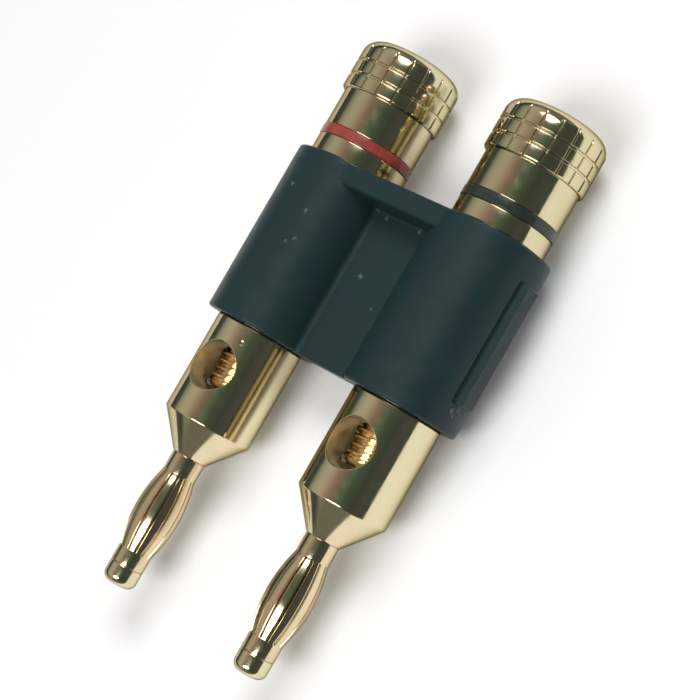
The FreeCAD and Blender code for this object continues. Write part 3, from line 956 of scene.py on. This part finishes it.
class BlockShape:
    """The block's outer form as contours across the plugs, one for each level along them."""

    def __init__(self):
        low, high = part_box("joiner_block")
        red, black = plug_frame("red").translation, plug_frame("black").translation
        self.height = (high.y - low.y) / MM
        self.lobe = (high.z - low.z) / 2 / MM
        self.half_spacing = (black.x - red.x) / 2 / MM
        self.place = Matrix.Translation(((red.x + black.x) / 2, low.y, red.z))
        self.bridge_low = self.height - BRIDGE_HEIGHT

    def level_between(self, y):
        """Half thickness between the lobes: the thin web, then a soft step up to the bridge."""
        web, bridge = WEB_THICKNESS / 2, BRIDGE_THICKNESS / 2
        fillet, edge = BRIDGE_FILLET, BRIDGE_EDGE
        before = y - (self.bridge_low - fillet)
        after = self.bridge_low + BRIDGE_DRAFT + edge - y
        if before <= 0:
            return web
        if y < self.bridge_low:
            return web + fillet - math.sqrt(fillet ** 2 - before ** 2)
        if y < self.bridge_low + BRIDGE_DRAFT:
            share = (y - self.bridge_low) / BRIDGE_DRAFT
            return web + fillet + (bridge - edge - web - fillet) * share
        if after > 0:
            return bridge - edge + math.sqrt(edge ** 2 - after ** 2)
        return bridge

    def inset(self, y):
        """How far the end rims are rounded in."""
        near_end = min(y, self.height - y)
        if near_end >= RIM_ROUND:
            return 0
        return RIM_ROUND - math.sqrt(RIM_ROUND ** 2 - (RIM_ROUND - near_end) ** 2)

    def rib_share(self, y):
        """1 along the rib and 0 past its ends."""
        inside = min(y - RIB_MARGIN, self.height - RIB_MARGIN - y)
        return smooth_step(inside / RIB_SOFTNESS + 0.5)

    def levels(self):
        """Places along the plugs where the contours stand, closest where the form changes."""
        turns = [math.sin(math.pi / 2 * k / ARC_LEVELS) for k in range(ARC_LEVELS + 1)]
        drafts = [BRIDGE_DRAFT * k / DRAFT_LEVELS for k in range(DRAFT_LEVELS + 1)]
        levels = {0.0, self.height}
        levels.update(RIM_ROUND * (1 - t) for t in turns)
        levels.update(self.height - RIM_ROUND * (1 - t) for t in turns)
        levels.update(self.bridge_low - BRIDGE_FILLET * (1 - t) for t in turns)
        levels.update(self.bridge_low + draft for draft in drafts)
        levels.update(self.bridge_low + BRIDGE_DRAFT + BRIDGE_EDGE * (1 - t) for t in turns)
        for end in (RIB_MARGIN, self.height - RIB_MARGIN):
            levels.update(end + RIB_SOFTNESS * share for share in (-0.5, -0.25, 0, 0.25, 0.5))
        even_length = self.height - 2 * RIM_ROUND
        levels.update(RIM_ROUND + even_length * k / EVEN_LEVELS for k in range(1, EVEN_LEVELS))
        spaced = []
        for y in sorted(levels):
            if not spaced or y - spaced[-1] > LEAST_LEVEL_GAP:
                spaced.append(y)
        spaced[-1] = self.height
        return spaced

    def upper_face(self, off_axis, level):
        """Height over the axes' plane beside a lobe's axis, with the crease rounded."""
        lobe, fillet = self.lobe, CREASE_ROUND
        reach_out = math.sqrt((lobe + fillet) ** 2 - (level + fillet) ** 2)
        touch = reach_out * lobe / (lobe + fillet)
        if off_axis < touch:
            return math.sqrt(lobe ** 2 - off_axis ** 2)
        if off_axis < reach_out:
            return level + fillet - math.sqrt(fillet ** 2 - (reach_out - off_axis) ** 2)
        return level

    def off_axis_steps(self):
        """Distances from a lobe's axis towards the middle, closest at the two creases."""
        ends = [start for start, _ in OFF_AXIS_STRETCHES[1:]] + [self.half_spacing]
        steps = []
        for (start, count), end in zip(OFF_AXIS_STRETCHES, ends):
            steps += [start + (end - start) * k / count for k in range(count)]
        return steps

    def lobe_angles(self):
        """Angles of a lobe's outer quarter, from its top to its side, closest at the rib."""
        coarse_count = int((90 - FINE_BELOW) / COARSE_DEGREES)
        fine_count = int(FINE_BELOW / FINE_DEGREES)
        coarse = [math.pi / 2 - math.radians(k * COARSE_DEGREES) for k in range(coarse_count)]
        fine = [math.radians(FINE_BELOW - k * FINE_DEGREES) for k in range(fine_count)]
        return coarse + fine

    def lobe_reach(self, angle, rib, y):
        """A lobe's radius at an angle from its side: the worn rib stands proud beside a groove."""
        wear = RIB_WEAR * noise.noise(Vector((y / RIB_WEAR_LENGTH, angle, 0)))
        beside = self.lobe * math.sin(abs(angle)) - RIB_WIDTH / 2 + wear
        share = rib * smooth_step(0.5 - beside / RIB_SOFTNESS)
        into = abs(beside - RIB_GROOVE_WIDTH / 2) / (RIB_GROOVE_WIDTH / 2)
        groove = RIB_GROOVE_DEPTH * rib * smooth_step(1 - into)
        proud = (self.lobe + RIB_RISE) / math.cos(angle) - self.lobe
        return self.lobe + proud * share - groove * (1 - share)

    def contour(self, y):
        """The closed outline at a level, as (x, z) points in millimetres."""
        level, rib = self.level_between(y), self.rib_share(y)
        half = self.half_spacing
        upper = []
        for angle in reversed(self.lobe_angles()):
            upper.append((-half - self.lobe * math.cos(angle), self.lobe * math.sin(angle)))
        steps = self.off_axis_steps()
        upper += [(-half + s, self.upper_face(s, level)) for s in steps[1:]]
        upper.append((0, level))
        upper += [(half - s, self.upper_face(s, level)) for s in reversed(steps[1:])]
        for angle in self.lobe_angles():
            out = self.lobe_reach(angle, rib, y)
            upper.append((half + out * math.cos(angle), out * math.sin(angle)))
        upper.append((half + self.lobe_reach(0, rib, y), 0))
        outline = [Vector((-half - self.lobe, 0))] + [Vector(p) for p in upper]
        outline += [Vector((x, -z)) for x, z in reversed(upper[:-1])]
        return self.sunk(self.inset_outline(outline, self.inset(y)), y)

    def inset_outline(self, outline, depth):
        """An outline moved in by a depth along its own normals."""
        if depth == 0:
            return outline
        moved = []
        for i, point in enumerate(outline):
            along = outline[(i + 1) % len(outline)] - outline[i - 1]
            moved.append(point + Vector((along.y, -along.x)).normalized() * depth)
        return moved

    def sunk(self, outline, y):
        """Shallow sink marks, as a thick soft moulding has."""
        marked = []
        for i, point in enumerate(outline):
            along = outline[(i + 1) % len(outline)] - outline[i - 1]
            inward = Vector((along.y, -along.x)).normalized()
            wave = noise.noise(Vector((point.x, y, point.y)) / SINK_SIZE)
            marked.append(point + inward * (SINK_DEPTH * (1 + wave) / 2))
        return marked


def make_joiner_block():
    """The soft block: two lobes, a thin web, a thick bridge at the knob end and one rib."""
    shape = BlockShape()
    bm = bmesh.new()
    rings = [[bm.verts.new((p.x * MM, y * MM, p.y * MM)) for p in shape.contour(y)]
             for y in shape.levels()]
    join_rings(bm, rings)
    mouths = [[], []]
    for side in (-1, 1):
        bore = bore_rings(bm, shape, side)
        join_rings(bm, bore)
        mouths[0].append(bore[0])
        mouths[1].append(bore[-1])
    for rim, holes in ((rings[0], mouths[0]), (rings[-1], mouths[1])):
        close_end(bm, [rim] + holes)
    piece = new_piece("soft_joiner_block", bm, shape.place, rubber_material(shape.place))
    settle(piece, "root", "block_rubber", "joiner_block")


def bore_rings(bm, shape, side):
    """The bore round a plug's neck, with the bead that sits in the neck's groove."""
    bore = NECK_DIA / 2 + ASSEMBLY_GAP
    bead = bore - NECK_GROOVE_DEPTH
    bead_low = (shape.height - NECK_GROOVE_WIDTH) / 2 + ASSEMBLY_GAP
    bead_high = (shape.height + NECK_GROOVE_WIDTH) / 2 - ASSEMBLY_GAP
    outline = [(bore + MOUTH_WIDTH, 0)]
    outline += [(p.x, p.y) for p in rounded([
        (bore, MOUTH_DEPTH, 0),
        (bore, bead_low, TINY_ROUND),
        (bead, bead_low, TINY_ROUND),
        (bead, bead_high, TINY_ROUND),
        (bore, bead_high, TINY_ROUND),
        (bore, shape.height - MOUTH_DEPTH, 0),
    ])]
    outline.append((bore + MOUTH_WIDTH, shape.height))
    angles = even_angles(TURN_STEPS // 2)
    rings = [turned_ring(bm, [r] * len(angles), [y] * len(angles), angles) for r, y in outline]
    for ring in rings:
        for vert in ring:
            vert.co.x += side * shape.half_spacing * MM
    return rings


def close_end(bm, loops):
    """Fill a flat end between its outer rim and the bores."""
    edges = []
    for loop in loops:
        for k, vert in enumerate(loop):
            edges.append(bm.edges.get((vert, loop[k - 1])))
    bmesh.ops.triangle_fill(bm, edges=edges, use_beauty=True)


def make_table():
    """A wide white table under the plug."""
    bm = bmesh.new()
    bmesh.ops.create_grid(bm, x_segments=4, y_segments=4, size=TABLE_HALF)
    mesh = bpy.data.meshes.new("white_table")
    bm.to_mesh(mesh)
    bm.free()
    table = bpy.data.objects.new("white_table", mesh)
    bpy.context.scene.collection.objects.link(table)
    mesh.materials.append(table_material())


def make_camera():
    """The photograph's camera: from above on the black plug's side, rolled against the plugs."""
    outward = Vector((math.sin(VIEW_TILT), 0, math.cos(VIEW_TILT)))
    right = Vector((math.cos(VIEW_TILT), 0, -math.sin(VIEW_TILT)))
    along = Vector((0, 1, 0))
    red = plug_frame("red").translation
    middle = Vector((0, red.y + VIEW_FROM_BLOCK_FACE * MM, red.z)) + right * VIEW_SIDE_SHIFT * MM
    place = middle + outward * VIEW_DISTANCE * MM
    forward = -outward * math.cos(VIEW_PITCH) + along * math.sin(VIEW_PITCH)
    up = along * math.cos(VIEW_PITCH) + outward * math.sin(VIEW_PITCH)
    rolled_right = right * math.cos(VIEW_ROLL) + up * math.sin(VIEW_ROLL)
    rolled_up = up * math.cos(VIEW_ROLL) - right * math.sin(VIEW_ROLL)
    data = bpy.data.cameras.new("photo_camera")
    data.sensor_width = SENSOR_WIDTH
    data.lens = FOCAL_PIXELS / IMAGE_PIXELS * SENSOR_WIDTH
    data.clip_start = CLIP_START
    data.clip_end = CLIP_END
    camera = bpy.data.objects.new("photo_camera", data)
    bpy.context.scene.collection.objects.link(camera)
    turn = Matrix((rolled_right, rolled_up, -forward)).transposed().to_4x4()
    camera.matrix_world = Matrix.Translation(place) @ turn
    bpy.context.scene.camera = camera


# Light from the room by its angle from straight up towards +X, in degrees
ROOM_BANDS = (
    (-180, (0.12, 0.12, 0.11)),
    (-88, (0.06, 0.07, 0.07)),
    (-72, (0.055, 0.07, 0.075)),
    (-61, (0.28, 0.31, 0.29)),
    (-50, (0.42, 0.40, 0.36)),
    (-40, (0.46, 0.43, 0.37)),
    (-30, (0.44, 0.41, 0.38)),
    (-20, (0.36, 0.30, 0.26)),
    (-8, (0.25, 0.195, 0.17)),
    (5, (0.16, 0.155, 0.125)),
    (15, (0.09, 0.15, 0.11)),
    (27, (0.065, 0.095, 0.07)),
    (50, (0.050, 0.065, 0.065)),
    (70, (0.075, 0.075, 0.080)),
    (90, (0.045, 0.075, 0.060)),
    (180, (0.12, 0.12, 0.11)),
)
# The room beyond the plugs' ends, and how far along the plugs a direction has to point for it
ROOM_ENDS = (0.17, 0.17, 0.15)
ENDS_SPAN = (0.78, 0.92)


def make_room():
    """Soft studio: long light and dark panels beside the plugs, and white behind the table."""
    world = bpy.data.worlds.new("room")
    bpy.context.scene.world = world
    world.use_nodes = True
    nodes, links = world.node_tree.nodes, world.node_tree.links
    coords = nodes.new("ShaderNodeTexCoord")
    split = nodes.new("ShaderNodeSeparateXYZ")
    links.new(coords.outputs["Generated"], split.inputs[0])
    angle = math_node(nodes, links, "ARCTAN2", split.outputs["X"], split.outputs["Z"])
    share = remap(nodes, links, angle, (-math.pi, math.pi), (0, 1))
    stops = [((degrees + 180) / 360, colour) for degrees, colour in ROOM_BANDS]
    bands = colour_ramp(nodes, links, share, stops)
    lengthwise = math_node(nodes, links, "ABSOLUTE", split.outputs["Y"])
    ends = remap(nodes, links, lengthwise, ENDS_SPAN, (0, 1), smooth=True)
    panels = nodes["Background"]
    links.new(mixed(nodes, links, ends, bands, ROOM_ENDS), panels.inputs["Color"])
    white = node_in(nodes, "ShaderNodeBackground", Color=(1, 1, 1, 1), Strength=1.0)
    seen = ray_share(nodes, links, "Is Camera Ray", "Is Transmission Ray")
    choice = nodes.new("ShaderNodeMixShader")
    links.new(seen, choice.inputs[0])
    links.new(panels.outputs[0], choice.inputs[1])
    links.new(white.outputs[0], choice.inputs[2])
    links.new(choice.outputs[0], nodes["World Output"].inputs["Surface"])


# Lamps: name, direction from the plug and power in watts, with their width and length in metres
LAMP_DISTANCE = 0.6
LAMP_WIDTH = 0.40
LAMP_LENGTH = 0.26
LAMPS = (
    ("lamp_tips", (0.15, -0.46, 0.87), 1.95),
    ("lamp_knobs", (0.08, 0.54, 0.83), 1.7),
)


def make_lamps():
    """Two oval lamps overhead, one towards the tips and one towards the knobs."""
    for name, direction, power in LAMPS:
        data = bpy.data.lights.new(name, "AREA")
        data.shape = "ELLIPSE"
        data.size = LAMP_WIDTH
        data.size_y = LAMP_LENGTH
        data.energy = power
        lamp = bpy.data.objects.new(name, data)
        bpy.context.scene.collection.objects.link(lamp)
        aim = Vector(direction).normalized()
        turn = aim.to_track_quat("Z", "Y").to_matrix().to_4x4()
        lamp.matrix_world = Matrix.Translation(aim * LAMP_DISTANCE) @ turn


make_camera()
make_table()
make_room()
make_lamps()

finishes = {name: gilt_material(name, *finish) for name, finish in GILT_FINISHES.items()}
body_finishes = {"red": finishes["gilt_dented"], "black": finishes["gilt_turned"]}
ring_finishes = {name: ring_material("ring_" + name, *finish)
                 for name, finish in RING_FINISHES.items()}
make_joiner_block()
for plug_colour in ("red", "black"):
    make_contact_body(plug_colour, body_finishes[plug_colour], finishes["gilt_drilled"])
    make_contact_spring(plug_colour, finishes["gilt_sheet"])
    make_centre_pin(plug_colour, finishes["gilt_turned"])
    make_clamp_stud(plug_colour, finishes["gilt_screw"])
    make_clamp_knob(plug_colour, finishes["gilt_knob"])
    make_marking_ring(plug_colour, ring_finishes[plug_colour])

bpy.context.scene.view_settings.view_transform = "Standard"
